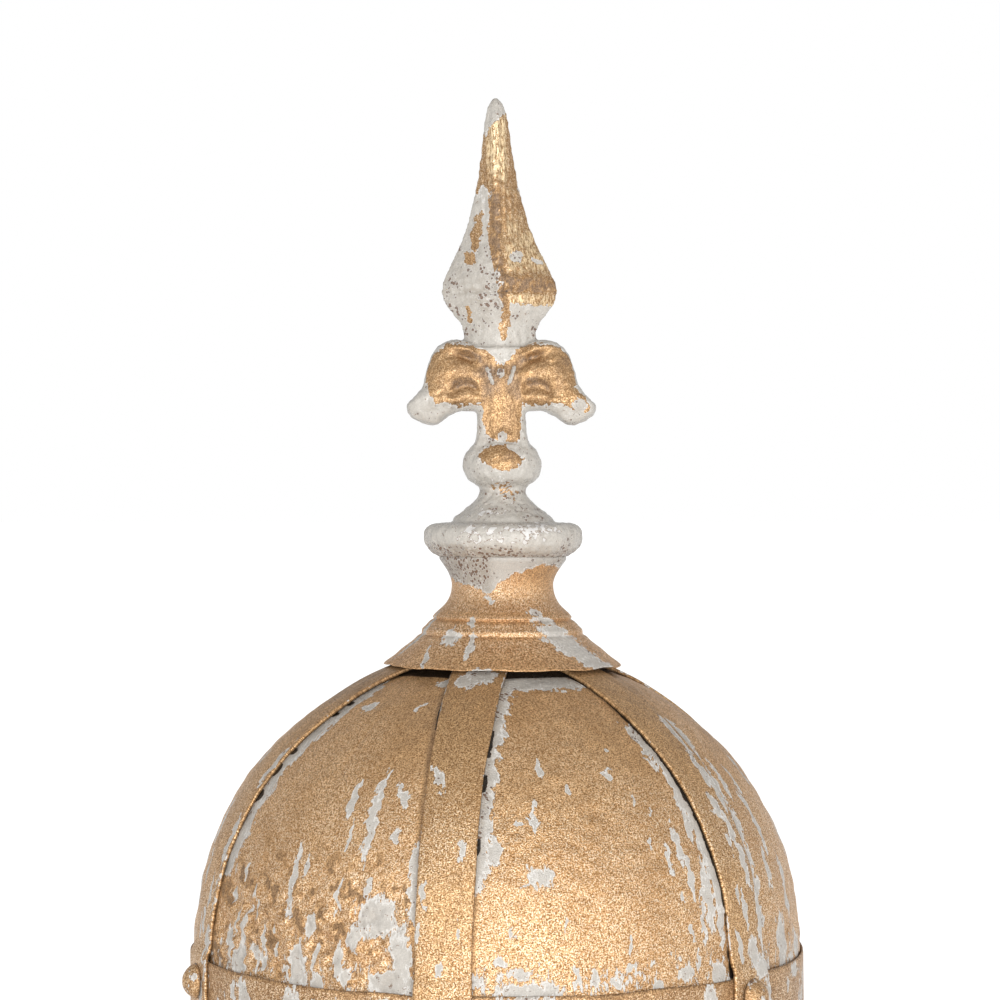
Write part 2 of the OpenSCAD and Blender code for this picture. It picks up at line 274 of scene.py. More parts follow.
grime = 0.25 + 0.5 * smooth(p[..., 2], band_h - 1.5, band_h) + 0.3 * smooth(ripple(p, 30, 9), 0, 1.5)
lay = np.stack([turn * mm_turn, p[..., 2], np.zeros_like(turn)], -1)
band = piece("band", p.reshape(-1, 3), [cells(len(side), n, True, True)],
             worn=worn.ravel(), grime=grime.ravel(), lay=lay.reshape(-1, 3))


def group(name, inputs, outputs):
    """An empty shader node group with its sockets."""
    g = bpy.data.node_groups.new(name, "ShaderNodeTree")
    for key, kind, value in inputs:
        s = g.interface.new_socket(key, in_out="INPUT", socket_type=kind)
        if value is not None:
            s.default_value = value
    for key, kind in outputs:
        g.interface.new_socket(key, in_out="OUTPUT", socket_type=kind)
    return g, g.nodes.new("NodeGroupInput").outputs, g.nodes.new("NodeGroupOutput").inputs


VEC, NUM, COL = "NodeSocketVector", "NodeSocketFloat", "NodeSocketColor"

# Gilding over primer: the leaf is a fine glitter of light and dark grains with broad patina; where
# "worn" passes a ragged limit it has flaked off, to light grey primer with brown pin-holes.
gilt, gi, go = group(
    "gilt wear",
    [("Vector", VEC, None), ("Worn", NUM, 0.0), ("Grime And Painted Light", NUM, 0.0), ("Streak", NUM, 2.6),
     ("Gold", COL, (0.74, 0.45, 0.21, 1)), ("Deep", COL, (0.33, 0.165, 0.062, 1)),
     ("Primer", COL, (0.50, 0.455, 0.39, 1)), ("Ragged", NUM, 1.0), ("Holes", NUM, 0.0),
     ("Grain", NUM, 0.85)],
    [("Color", COL), ("Roughness", NUM), ("Metallic", NUM), ("Height", NUM)])


def within(make, *first):
    """A node maker of this group, its first words filled in."""
    return lambda *values, **named: make(gilt, *first, *values, **named)


times, plus, minus, over, least = (
    within(maths, operation) for operation in ("MULTIPLY", "ADD", "SUBTRACT", "DIVIDE", "MINIMUM"))
rise, blend, noisy, link = within(step_up), within(mixed), within(noise), within(wire)
scaled = gilt.nodes.new("ShaderNodeVectorMath")
scaled.operation = "MULTIPLY"
link(gi["Vector"], scaled.inputs[0])
ratio = gilt.nodes.new("ShaderNodeCombineXYZ")
ratio.inputs["X"].default_value = ratio.inputs["Z"].default_value = 1
link(over(1.0, gi["Streak"]), ratio.inputs["Y"])
link(ratio.outputs[0], scaled.inputs[1])
streaky = scaled.outputs[0]
broad = minus(noisy(streaky, 0.22, 3, 0.6), 0.5)
ragged = minus(noisy(streaky, 0.75, 3, 0.65), 0.5)
fine = minus(noisy(gi["Vector"], 2.2, 2, 0.5), 0.5)
limit = plus(plus(broad, ragged), times(fine, 0.22))
limit = times(limit, gi["Ragged"])
level = plus(gi["Worn"], limit)
bare = rise(level, 0.49, 0.52)
# a pale line just inside the flake's edge, a dark one just outside
pale = times(bare, rise(level, 0.56, 0.74, 1.0, 0.0))
dark = times(minus(1.0, bare), rise(level, 0.40, 0.49))
# the leaf's grains and patina
grain = noisy(gi["Vector"], 1.4, 2, 0.6)
spark = noisy(gi["Vector"], 2.4, 2, 0.6)
brush = noisy(streaky, 1.1, 2, 0.6)
tone = plus(times(grain, 0.52), times(spark, 0.30))
tone = plus(tone, times(brush, 0.18))
bright = rise(tone, 0.455, 0.545)
patina = noisy(streaky, 0.055, 4, 0.6)
cloud = rise(patina, 0.36, 0.66)
duller = times(minus(1.0, bright), gi["Grain"])
gold = blend(duller, gi["Gold"], blend(0.5, gi["Gold"], gi["Deep"]))
# the brightest grains, warmer where the patina lies; where grime is low, low on the dome, they are paler, a
# painted highlight
glint_and_painted_highlight = blend(rise(gi["Grime And Painted Light"], 0.15, 0.55), (1.0, 0.86, 0.66), (0.97, 0.63, 0.32))
gold = blend(times(rise(tone, 0.505, 0.585, 0.0, 0.95), gi["Grain"]), gold, glint_and_painted_highlight)
gold = blend(times(rise(tone, 0.415, 0.48, 0.95, 0.0), gi["Grain"]), gold,
             blend(0.4, gi["Deep"], (0.10, 0.05, 0.02)))
speck = times(rise(noisy(gi["Vector"], 1.5, 1, 0.5), 0.30, 0.42, 0.7, 0.0), gi["Grain"])
gold = blend(speck, gold, (0.16, 0.085, 0.035))
gold = blend(times(cloud, 0.26), gold, gi["Deep"])
# where grime is below zero the gold is kept bright: fresh gilding, and partly a painted highlight on the
# spear
fresh_and_painted_highlight = times(times(gi["Grime And Painted Light"], -1.0, clamp=True), rise(brush, 0.38, 0.62), clamp=True)
gold = blend(fresh_and_painted_highlight, gold, (1.0, 0.80, 0.50))
# dark stain where grime is high: patina, and painted shade high on the dome and straps and along the strap
# edges
stain_and_painted_shade = plus(gi["Grime And Painted Light"], times(broad, 0.7), clamp=True)
stain_and_painted_shade = times(rise(stain_and_painted_shade, 0.25, 1.0), 0.85)
gold = blend(stain_and_painted_shade, gold, blend(bright, (0.115, 0.064, 0.030), (0.245, 0.145, 0.072)))
gold = blend(times(dark, 0.4), gold, (0.25, 0.145, 0.075))
# the primer: broken by small brown rust holes, dirtier in patches, and darker where grime is high, which
# under the casting's disc and knob is painted shade
dots = gilt.nodes.new("ShaderNodeTexVoronoi")
dots.inputs["Scale"].default_value = 0.46
link(gi["Vector"], dots.inputs["Vector"])
few = noisy(gi["Vector"], 0.10, 2, 0.5)
hole = plus(times(minus(few, 0.54), 1.5), gi["Holes"])
hole = plus(hole, times(minus(gi["Grime And Painted Light"], 0.2, clamp=True), 0.55))
hole = least(plus(hole, times(fine, 0.9)), 0.42)
hole = minus(hole, dots.outputs["Distance"])
lip = rise(hole, -0.20, -0.08, 0.0, 0.55)
hole = rise(hole, -0.04, 0.04)
ground = blend(rise(grain, 0.40, 0.65, 0.0, 0.35), gi["Primer"], (0.64, 0.60, 0.54))
ground = blend(rise(few, 0.5, 0.75, 0.0, 0.30), ground, (0.36, 0.30, 0.24))
dirt_and_painted_shade = rise(plus(gi["Grime And Painted Light"], times(ragged, 0.7)), 0.15, 0.95, 0.0, 0.55)
ground = blend(dirt_and_painted_shade, ground, (0.27, 0.225, 0.175))
# white flakes with dark edges in the primer, many where grime is below zero; there they are partly painted
# highlights
flake = minus(noisy(gi["Vector"], 0.32, 3, 0.55), times(gi["Grime And Painted Light"], 0.28))
ground = blend(rise(flake, 0.60, 0.625, 0.0, 0.85), ground, (0.17, 0.10, 0.055))
ground = blend(rise(flake, 0.635, 0.66), ground, (0.64, 0.62, 0.595))
ground = blend(times(pale, 0.75), ground, (0.72, 0.70, 0.665))
ground = blend(lip, ground, (0.64, 0.615, 0.58))
ground = blend(times(hole, 0.9), ground, (0.14, 0.07, 0.035))
# above 1.25 the colour is painted black: the shadow in a gap
black = rise(plus(gi["Grime And Painted Light"], times(ragged, 0.8)), 1.25, 1.5)
link(blend(times(black, 0.97), blend(bare, gold, ground), (0.012, 0.008, 0.005)), go["Color"])
rough_gold = rise(tone, 0.35, 0.65, 0.52, 0.30)
rough_ground = rise(few, 0.35, 0.65, 0.16, 0.36)
link(plus(times(minus(1.0, bare), rough_gold), times(bare, rough_ground)), go["Roughness"])
link(times(times(minus(1.0, bare), 0.72), minus(1.0, stain_and_painted_shade)), go["Metallic"])
height = times(minus(1.0, bare), 0.22)
height = plus(height, times(times(tone, gi["Grain"]), 0.65))
height = plus(height, times(noisy(gi["Vector"], 0.35, 2, 0.5), 0.35))
height = minus(height, times(times(hole, bare), 0.35))
link(height, go["Height"])


def gilding(name, gold, deep, primer=(0.465, 0.435, 0.395), streak=2.6, ragged=1.0, holes=0.0,
            grain=1.0, shine=0.28, seed=0.0):
    """A gilded material: the group reads the lay attribute, the shader takes its outputs."""
    m = bpy.data.materials.new(name)
    m.use_nodes = True
    tree = m.node_tree
    shader = tree.nodes["Principled BSDF"]
    wear = tree.nodes.new("ShaderNodeGroup")
    wear.node_tree = gilt
    place = tree.nodes.new("ShaderNodeAttribute")
    place.attribute_name = "lay"
    shift = tree.nodes.new("ShaderNodeVectorMath")
    shift.inputs[1].default_value = (seed, 2 * seed, 0.7 * seed)
    wire(tree, place.outputs["Vector"], shift.inputs[0])
    wire(tree, shift.outputs[0], wear.inputs["Vector"])
    for key, socket in (("worn", "Worn"), ("grime", "Grime And Painted Light")):
        a = tree.nodes.new("ShaderNodeAttribute")
        a.attribute_name = key
        wire(tree, a.outputs["Fac"], wear.inputs[socket])
    for socket, v in (("Gold", gold + (1,)), ("Deep", deep + (1,)), ("Primer", primer + (1,)),
                      ("Streak", streak), ("Ragged", ragged), ("Holes", holes), ("Grain", grain)):
        wear.inputs[socket].default_value = v
    relief = tree.nodes.new("ShaderNodeBump")
    relief.inputs["Strength"].default_value = 1.0
    relief.inputs["Distance"].default_value = 0.001
    wire(tree, wear.outputs["Height"], relief.inputs["Height"])
    wire(tree, wear.outputs["Color"], shader.inputs["Base Color"])
    wire(tree, wear.outputs["Roughness"], shader.inputs["Roughness"])
    wire(tree, wear.outputs["Metallic"], shader.inputs["Metallic"])
    wire(tree, relief.outputs["Normal"], shader.inputs["Normal"])
    shader.inputs["Specular IOR Level"].default_value = shine
    return m


def finish_piece(o, material, node):
    """Gives a piece its material and its body, and hides the CAD part of that node."""
    o.data.materials.append(material)
    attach(o, "root")
    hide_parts(node)


band_gilding = gilding("band gilding", (0.58, 0.345, 0.165), (0.27, 0.14, 0.06), seed=3.3)
finish_piece(band, band_gilding, "base_band")

# ---------------------------------------------------------------- dome sheets
# Six sheets of thin iron, each bent to a sphere, tucked inside the band and under the straps.
# They have sunk a little along the straps, so that a dark gap shows beside them.
gore_r = np.array(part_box("gore_2")[1])[0] / MM
hole_r = 42.0
dome_z = np.array(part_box("gore_2")[1])[2] / MM - math.sqrt(gore_r ** 2 - hole_r ** 2)
foot_z = np.array(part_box("gore_2")[0])[2] / MM
strap_half = 13.5
seam_half = 1.6  # from a sheet's edge to the meridian plane of the strap over it
sheet_wall = 1.15


def bulge(z):
    """How far the sheets and straps bow out at mid height, in mm."""
    return 1.3 * smooth(z, 48, 85) * smooth(165 - z, 0, 45)


# chips: direction in degrees, height, half width and half length in mm, and any lean
left_marks = [
    (-26, 113, 2.5, 21), (-32, 117, 2, 9), (-30, 103, 1, 7), (-20, 120, 3, 6, .4), (-20, 104, 2, 2.5),
    (-41, 81, 2, 16), (-38.5, 88, 1.5, 6), (-35.5, 63, 3, 6), (-22, 69, 11, 9), (-26, 60, 3, 8),
    (-17, 51, 5, 16), (-18.5, 40, 12, 6), (-38, 44, 5, 12), (-33, 38, 4, 7), (-46.5, 43, 3.5, 5),
    (-54, 42, 6, 7), (-53, 58, 1.5, 12), (-58.5, 52, 3, 6), (-58.5, 71, 2, 4), (-55.5, 82, 1.5, 4),
    (-50, 66, 1.2, 5), (-51, 74, 1.0, 3), (-47, 55, 1.0, 9), (-44, 58, 1.2, 3), (-49, 47, 2.4, 4),
    (-56, 60, 1.4, 9), (-43, 50, 1.6, 3), (-41, 41, 3, 3), (-29, 50, 2.2, 8), (-27, 43, 3, 5),
    (-12.5, 66, 1.2, 8), (-13, 92, 1.6, 6), (-14, 103, 1.6, 5), (-57, 167, 6, 3), (-15.5, 163, 2.2, 6),
    (-22, 170, 6, 2.2), (-26, 160, 1.5, 5, -.4), (-48, 158, 5, 2.5, -.6), (-30, 77, 1.3, 7),
    (-34, 49, 1.2, 6), (-24, 82, 2.6, 3), (-57, 47, 1.3, 6)]
right_marks = [
    (10, 133, 1.8, 5), (15.5, 123, 1.2, 2.5), (26, 130, 3.5, 2), (40, 146, 1.5, 2.5), (39, 137, 1.2, 2),
    (7.5, 111, 2.2, 7), (4.5, 109, 3.5, 1.5), (-0.5, 99, 3, 7), (8, 87, 5.5, 5), (5, 83, 2, 1.5),
    (0.5, 52, 2, 5.5), (4.3, 46, 6, 2.5), (5, 37, 16, 4), (17, 43, 2, 5), (13.7, 43, 1.5, 6),
    (24, 47, 2.2, 2), (24, 54, 0.8, 4), (37.5, 97, 2.2, 10), (42, 74, 3, 14), (44, 60, 2, 10),
    (43, 39, 8, 5), (33, 112, 0.9, 4), (30, 118, 0.8, 3), (34.5, 92, 1.4, 7), (38.5, 84, 1.8, 9),
    (36, 74, 0.8, 5), (40, 64, 1.4, 8), (37, 58, 0.9, 4), (31, 98, 0.8, 3), (21, 39, 1.5, 3),
    (29, 38, 3, 2.5), (35, 41, 5, 3), (38, 47, 1.3, 5), (24.5, 60, 0.7, 3), (12, 68, 0.8, 4),
    (44, 116, 2, 8), (42, 104, 2, 8), (29, 140, 1.2, 1.2), (3, 64, 1.2, 4)]
side_marks = [
    (66, 46, 6, 14), (76, 40, 7, 7), (72, 70, 3.5, 15), (67, 100, 2.6, 16), (64, 82, 2, 10),
    (62, 122, 2, 10), (69, 122, 1.5, 8), (84, 90, 2, 12), (90, 60, 5, 9), (80, 125, 2, 9), (98, 44, 7, 6)]
# wear along the two edges, (height low, height high, width): beside the lower-numbered strap, then the other
edge_wear = {6: ([(72, 168, 8.5)], [(60, 100, 2.4)]), 1: ([(75, 172, 5.0), (35, 45, 4)], [(62, 150, 6.0)]),
             2: ([(48, 152, 5.0)], [(40, 150, 4.0)]), 3: ([(50, 120, 3.0)], [(60, 160, 3.0)]),
             4: ([(60, 160, 4.0)], [(40, 120, 3.0)]), 5: ([(50, 150, 3.0)], [(80, 160, 4.0)])}
plain = np.random.default_rng(41)
sheets = []
for i in range(1, 7):
    shown = i in (1, 6)
    nu, nv = (190, 200) if shown else (120, 130)
    ni = 24
    a0, a1 = turns[i - 1], turns[i - 1] + 60
    elev0 = math.asin((foot_z - dome_z) / gore_r)
    elev1 = math.acos(hole_r / gore_r)
    elev = np.linspace(elev0, elev1, nv)[:, None]
    r_out = gore_r * np.cos(elev)
    trim = np.degrees(np.arcsin(seam_half / r_out))
    s = np.concatenate([np.linspace(0, 1, nu), np.linspace(1, 0, ni)])[None, :]
    inner = np.concatenate([np.zeros(nu), np.ones(ni)])[None, :]
    az = a0 + trim + (a1 - a0 - 2 * trim) * s
    from0 = np.radians(az - a0) * r_out
    from1 = np.radians(a1 - az) * r_out
    near = np.minimum(from0, from1)
    z = dome_z + gore_r * np.sin(elev)
    base = polar(az, r_out, z)
    sink = 0.12 + 0.2 * smooth(22 - near, 0, 7) + 0.22 * (1.6 + ripple(base, 55, 20 + i))
    sink = sink + 0.16 * ripple(base, 12, 30 + i)
    if i == 6:
        low = smooth(95 - z, 0, 30) * smooth(z, 28, 45)
        # the beaten foot of this sheet, and a crease higher up
        sink += low * smooth(near, 13, 24) * (
            1.5 + 0.85 * ripple(base, 20, 77) + 0.55 * ripple(base, 9, 78) + 0.28 * ripple(base, 5, 79))
        crease = bell((az + 38.7) * 2.2, 2.0) * smooth(z, 110, 130) * smooth(160 - z, 0, 15)
        sink += 0.5 * crease
    elif i != 1:
        sink += 0.4 * (1 + ripple(base, 18, 60 + i)) * smooth(90 - z, 0, 40)
    sink += 0.9 * smooth(elev, elev1 - 0.25, elev1)
    sink = np.maximum(sink, 0.02) + inner * sheet_wall
    radius = gore_r - sink + bulge(z)
    p = polar(az, radius * np.cos(elev), dome_z + radius * np.sin(elev))
    arc = gore_r * (elev + 0 * az)
    across = np.radians(az - (a0 + a1) / 2) * r_out
    centre = (a0 + a1) / 2
    marks = {6: left_marks, 1: right_marks, 2: side_marks}.get(i, [])
    if not marks:
        marks = [(centre + plain.uniform(-22, 22), plain.uniform(38, 150), plain.uniform(1.2, 4),
                  plain.uniform(3, 13)) for k in range(16)]
        marks += [(centre + plain.uniform(-20, 20), 38, plain.uniform(4, 12), 5) for k in range(4)]
    sx, sy = strayed(base, 500 + 10 * i)
    worn = np.zeros_like(across)
    for a, zc, w, h, *lean in marks:
        up = arc - gore_r * math.asin(min(0.999, (zc - dome_z) / gore_r)) + 1.6 * sy
        dx = across - math.radians((a - centre + 180) % 360 - 180) * r_out + sx
        dx = dx + (lean[0] if lean else 0) * up
        worn = np.maximum(worn, 1.15 - 0.65 * np.hypot(dx / w, up / (h * 1.05)))
    for edge, runs in ((from0, edge_wear[i][0]), (from1, edge_wear[i][1])):
        for low, high, width in runs:
            span = smooth(z, low, low + 12) * smooth(high + 6 - z, 0, 10)
            worn = np.maximum(worn, span * (1.15 - 0.62 * (edge + 1.3 * sx - strap_half) / width))
    if i == 1:
        worn = np.maximum(worn, (1.1 * smooth(z + 0.9 * sx, 164, 170)) * smooth(46 - az + sy, 0, 7))
    worn = np.maximum(worn, 0.40 * smooth(72 - z, 0, 34))
    worn = np.where(inner > 0, 0, worn)
    # darker towards the top: dark patina, and painted shade on the upper dome, which the low lamp lights less
    grime = 0.12 + 0.52 * smooth(z, 70, 172) * (0.6 + 0.4 * smooth(ripple(base, 50, 90 + i), -1, 1))
    # painted shadow along the straps' edges, where the sheet runs into the gap under them, and painted shade
    # under the cap's rim
    grime = grime + 0.5 * smooth(strap_half + 3.0 - near, 0, 3) + 0.25 * smooth(z, 168, 176)
    grime = grime + 1.6 * smooth(z, 172.1, 172.9)  # painted black: the shadow in the gap under the cap's rim
    if i == 6:
        stained = ripple(base, 14, 95) + 0.8 * ripple(base, 6, 96) + 0.5 * ripple(base, 3, 97, 14)
        stained = smooth(0.6 - worn, 0, 0.25) * smooth(110 - z, 0, 30) * smooth(stained, -0.1, 1.9)
        grime = grime + 0.95 * stained
    # painted black shadow in the joints and slots beside the straps: (which edge, height low, height high,
    # width)
    slots = {6: [(from0, 112, 118, 3.4), (from0, 124, 130, 3.6), (from0, 134, 137.5, 3.0),
                 (from0, 153, 155, 3.2), (from0, 158, 160, 3.4), (from1, 150, 172, 0.0)],
             1: [(from1, 36, 176, 0.12), (from1, 116, 158, 0.8), (from1, 86, 104, 0.5),
                 (from0, 123, 131, 1.0), (from0, 138, 150, 0.8), (from0, 96, 104, 0.9)]}
    for edge, low, high, width in slots.get(i, []):
        part = np.clip((z - low) / (high - low), 0, 1)
        bow = (4 * part * (1 - part)) ** (0.5 if high - low < 12 else 0.1)
        inside = strap_half - 0.4 + (width + 0.4) * bow - edge + 0.35 * sx
        grime = grime + 1.9 * bow * smooth(inside, -0.3, 0.4)
    grime = np.where(inner > 0, 1.0, grime)
    lay = np.stack([across + 200 * i, arc, np.zeros_like(arc)], -1)
    cols = nu + ni
    caps = np.stack([np.arange(cols)[::-1], (nv - 1) * cols + np.arange(cols)])
    sheets.append(piece(f"sheet_{i}", p.reshape(-1, 3), [cells(nv, cols, False, True), caps],
                        worn=worn.ravel(), grime=grime.ravel(), lay=lay.reshape(-1, 3)))
sheet_gilding = gilding("sheet gilding", (0.79, 0.49, 0.25), (0.36, 0.175, 0.055), holes=-0.04, seed=5.3)
for i, sheet in enumerate(sheets, 1):
    finish_piece(sheet, sheet_gilding, f"gore_{i}")

# ---------------------------------------------------------------- straps
# Six flat iron straps over the seams between the sheets, bent out over the band's edge and down
# its outside, their edges a little rounded and wavy.
strap_lift = 1.7  # from the sheet or the band under a strap to its outside
strap_r = gore_r + strap_lift
foot_r = band_r + strap_lift
strap_wall = 1.35
strap_top = 38.0
strap_foot = np.array(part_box("rib_1")[0])[2] / MM
bend_z = dome_z + 14
strap_marks = {
    1: [
        (-8, 130, 3, 5, .3), (6.5, 99, 1.8, 5), (7, 64, .8, 4), (-2, 48, 1.8, 3), (-10, 80, 1.2, 6),
        (-11, 64, 1.2, 5)],
    2: [
        (9, 146, 2.4, 9), (7, 129, 3, 8), (2, 113, 3.2, 6), (6, 104, 2.4, 8), (10.5, 118, 2.2, 12),
        (7, 87, 2.2, 13), (1, 97, 1.6, 5), (12, 63, 2.2, 16), (0, 66, 1.5, 9), (3, 45, 4, 8),
        (8, 38, 6, 6), (-4, 74, 1, 5), (12, 20, 3, 8), (-7, 50, 1.6, 8)],
    6: [
        (10, 95, 2, 12), (6, 70, 1.4, 9), (2, 55, 2, 8), (9, 45, 2, 8), (-3, 50, 1.4, 6),
        (-7, 80, 1.2, 8), (10, 130, 2, 10), (7, 20, 2.4, 9), (10, 12, 3, 6)]}
straps = []
for i in range(1, 7):
    nl, nw = (260, 40) if i in (1, 2, 6) else (200, 30)
    ni = 10
    # the middle line: up the band, over its edge, then up the sphere
    t = np.linspace(0, 1, 400)
    e0, e1 = math.asin((bend_z - dome_z) / strap_r), math.acos(strap_top / strap_r)
    e = e0 + (e1 - e0) * t
    lower = np.linspace(strap_foot, band_h + 1.5, 60)
    join_z = np.linspace(band_h + 1.5, bend_z, 20)[1:-1]
    f = smooth(join_z, band_h + 1.5, bend_z)
    path = np.concatenate([
        np.stack([np.full(60, foot_r), lower], 1),
        np.stack([foot_r + (strap_r * math.cos(e0) - foot_r) * f, join_z], 1),
        np.stack([strap_r * np.cos(e), dome_z + strap_r * np.sin(e)], 1)])
    along = np.concatenate([[0], np.cumsum(np.linalg.norm(np.diff(path, axis=0), axis=1))])
    step = np.linspace(0, along[-1], nl)
    path = np.stack([np.interp(step, along, path[:, k]) for k in (0, 1)], 1)
    bow = bulge(path[:, 1]) / strap_r
    path = path + bow[:, None] * (path - [0, dome_z])
    slope = np.gradient(path, axis=0)
    slope /= np.linalg.norm(slope, axis=1)[:, None]
    out = np.stack([slope[:, 1], -slope[:, 0]], 1)
    s = np.concatenate([np.linspace(-1, 1, nw), np.linspace(1, -1, ni)])[None, :]
    inner = np.concatenate([np.zeros(nw), np.ones(ni)])[None, :]
    still = 0 * path[:, 0]
    wob = ripple(np.stack([path[:, 1], still, np.sign(s[0, 0]) + still], -1), 38, 50 + i)[:, None]
    wob1 = ripple(np.stack([path[:, 1], 9 + still, still], -1), 30, 70 + i)[:, None]
    half = strap_half - 0.35 + 0.28 * np.where(s < 0, wob, wob1)
    w = half * s
    round_off = 0.55 * np.clip(np.abs(s) - 0.955, 0, 1) / 0.045
    q = np.stack([np.repeat(path[:, 1][:, None], s.shape[1], 1), w, w * 0], -1)
    shift = -0.12 * (1.1 + ripple(q, 26, 80 + i)) - 0.06 * (1 + ripple(q, 9, 81 + i))
    shift = shift - round_off ** 2 - inner * strap_wall
    lift = -0.35 * (np.abs(s) ** 3)
    shift = shift + np.where(step[:, None] > 40, lift, 0)
    rr = path[:, 0][:, None] + out[:, 0][:, None] * shift
    zz = path[:, 1][:, None] + out[:, 1][:, None] * shift
    # on the band the strap follows its curve; higher up it also bends round with the dome
    drop = rr - np.sqrt(np.maximum(rr ** 2 - w ** 2, 1))
    a = math.radians(turns[i - 1])
    x = rr - drop
    p = np.stack([x * math.sin(a) + w * math.cos(a), -x * math.cos(a) + w * math.sin(a), zz - 0 * w], -1)
    drawn = [(plain.uniform(-12, 12), plain.uniform(20, 160), plain.uniform(1, 2.5), plain.uniform(3, 10))
             for k in range(12)]
    worn = chips(w + 0 * zz, zz, strap_marks.get(i, drawn), strayed(q, 700 + 10 * i, 0.9))
    worn = np.maximum(worn, 0.36 * smooth(np.abs(s), 0.9, 1.0) * (1 + 0.5 * wob))
    if i == 6:
        worn = np.maximum(worn, 0.40 * smooth(w, 2, 12) * smooth(110 - zz, 0, 30))
    if i == 2:
        worn = np.maximum(worn, 0.42 * smooth(w, 0, 12) * smooth(125 - zz, 0, 20))
    if i == 1:
        worn = np.maximum(worn, chips(w + 0 * zz, zz, [(2, 173, 7, 4), (-5, 170, 5, 3)]))
    worn = np.where(inner > 0, 0, worn)
    # darker towards the top: dark patina, and painted shade high on the dome as on the sheets
    grime = 0.22 + 0.34 * smooth(zz, 90, 175) + 0.16 * smooth(ripple(q, 45, 97 + i), -0.5, 1.5) + 0 * w
    grime = np.where(inner > 0, 1.0, grime)
    lay = np.stack([w + 40 * i + 0 * zz, step[:, None] + 0 * w, 0 * (w + zz)], -1)
    cols = nw + ni
    caps = np.stack([np.arange(cols)[::-1], (nl - 1) * cols + np.arange(cols)])
    straps.append(piece(f"strap_{i}", p.reshape(-1, 3), [cells(nl, cols, False, True), caps],
                        worn=worn.ravel(), grime=grime.ravel(), lay=lay.reshape(-1, 3)))
strap_gilding = gilding("strap gilding", (0.68, 0.41, 0.19), (0.30, 0.155, 0.06), seed=11.4)
for i, strap in enumerate(straps, 1):
    finish_piece(strap, strap_gilding, f"rib_{i}")

# ---------------------------------------------------------------- rivets
# Six domed rivet heads with their shanks, hammered slightly out of round, paint worn on the crown.
head_r, head_h, shank_r = 8.6, 6.8, 4.0
rivet_gilding = gilding("rivet gilding", (0.66, 0.40, 0.19), (0.28, 0.145, 0.06), seed=23.6)
for i in range(1, 7):
    t = np.linspace(0, 1, 20)
    ball = (head_r ** 2 + head_h ** 2) / (2 * head_h)
    fall = math.acos((ball - head_h) / ball)
    side = np.concatenate([
        [[0.0, band_r - band_wall - foot_r], [shank_r, band_r - band_wall - foot_r], [shank_r, 0.05],
         [head_r - 0.5, 0.0], [head_r - 0.12, 0.25]],
        np.stack([ball * np.sin(fall * (1 - t)), head_h - ball + ball * np.cos(fall * (1 - t))], 1)[1:]])
    side[-1, 0] = 0
    ang = np.arange(56) * 2 * math.pi / 56
    r, h = side[:, 0][:, None], side[:, 1][:, None]
    u, v = r * np.cos(ang), r * np.sin(ang)
    dent = np.stack([u + 40 * i, v, h + 0 * u], -1)
    k = 1 - 0.018 * (1.4 + ripple(dent, 9, 110 + i)) * smooth(h, 0.2, 3)
    u = u * (1 - 0.03 * smooth(ripple(dent, 16, 120 + i), -1, 1))
    v = v * (1 - 0.02 * smooth(ripple(dent, 14, 121 + i), -1, 1))
    a = math.radians(turns[i - 1])
    d = foot_r + h * k
    p = np.stack([d * math.sin(a) + u * math.cos(a), -d * math.cos(a) + u * math.sin(a),
                  rivet_z + v - 0.6 * smooth(h, 0, 0.3)], -1)
    ring = p[1:-1].reshape(-1, 3)
    points = np.concatenate([ring, p[:1, 0], p[-1:, 0]])
    m, c = len(side) - 2, 56
    last = len(points) - 1
    j = np.arange(c)
    fans = np.concatenate([np.stack([np.full(c, last - 1), (j + 1) % c, j], 1),
                           np.stack([np.full(c, last), (m - 1) * c + j, (m - 1) * c + (j + 1) % c], 1)])
    quads = cells(m, c, False, True)
    hh = np.concatenate([np.repeat(h[1:-1, 0], c), [h[0, 0], h[-1, 0]]])
    uu = np.concatenate([u[1:-1].ravel(), [0, 0]])
    vv = np.concatenate([v[1:-1].ravel(), [0, 0]])
    worn = 0.30 + 0.2 * smooth(ripple(np.stack([uu + 30 * i, vv, hh], -1), 7, 130), 0, 1.4)
    # darker towards the foot of the head: painted shade where it meets the band, with some dirt
    grime = 0.35 + 0.6 * smooth(1.6 - hh, 0, 1.4)
    rivet = piece(f"rivet_head_{i}", points, [quads, fans], worn=worn, grime=grime,
                  lay=np.stack([uu + 60 * i, vv, hh], -1))
    finish_piece(rivet, rivet_gilding, f"rivet_{i}")

# ---------------------------------------------------------------- crown cap
# A cap of spun sheet: flared skirt, two beads, hollow waist. Its thin rim stands on the straps,
# a little wavy, so that a dark gap shows under it between them.
cap_lo, cap_hi = (np.array(v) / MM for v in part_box("crown_cap"))
cap_mid = (cap_lo + cap_hi)[:2] / 2
rim_z = cap_lo[2] + 0.3
rim_r = (cap_hi[0] - cap_lo[0]) / 2


def spline(knots, count):
    """A smooth line through the knots, count points on it."""
    k = np.array(knots, float)
    ext = np.concatenate([[2 * k[0] - k[1]], k, [2 * k[-1] - k[-2]]])
    u = np.linspace(0, len(k) - 1, count)
    j = np.minimum(u.astype(int), len(k) - 2)
    f = (u - j)[:, None]
    a, b, c, d = ext[j], ext[j + 1], ext[j + 2], ext[j + 3]
    return 0.5 * (2 * b + (c - a) * f + (2 * a - 5 * b + 4 * c - d) * f ** 2
                  + (3 * b - a - 3 * c + d) * f ** 3)


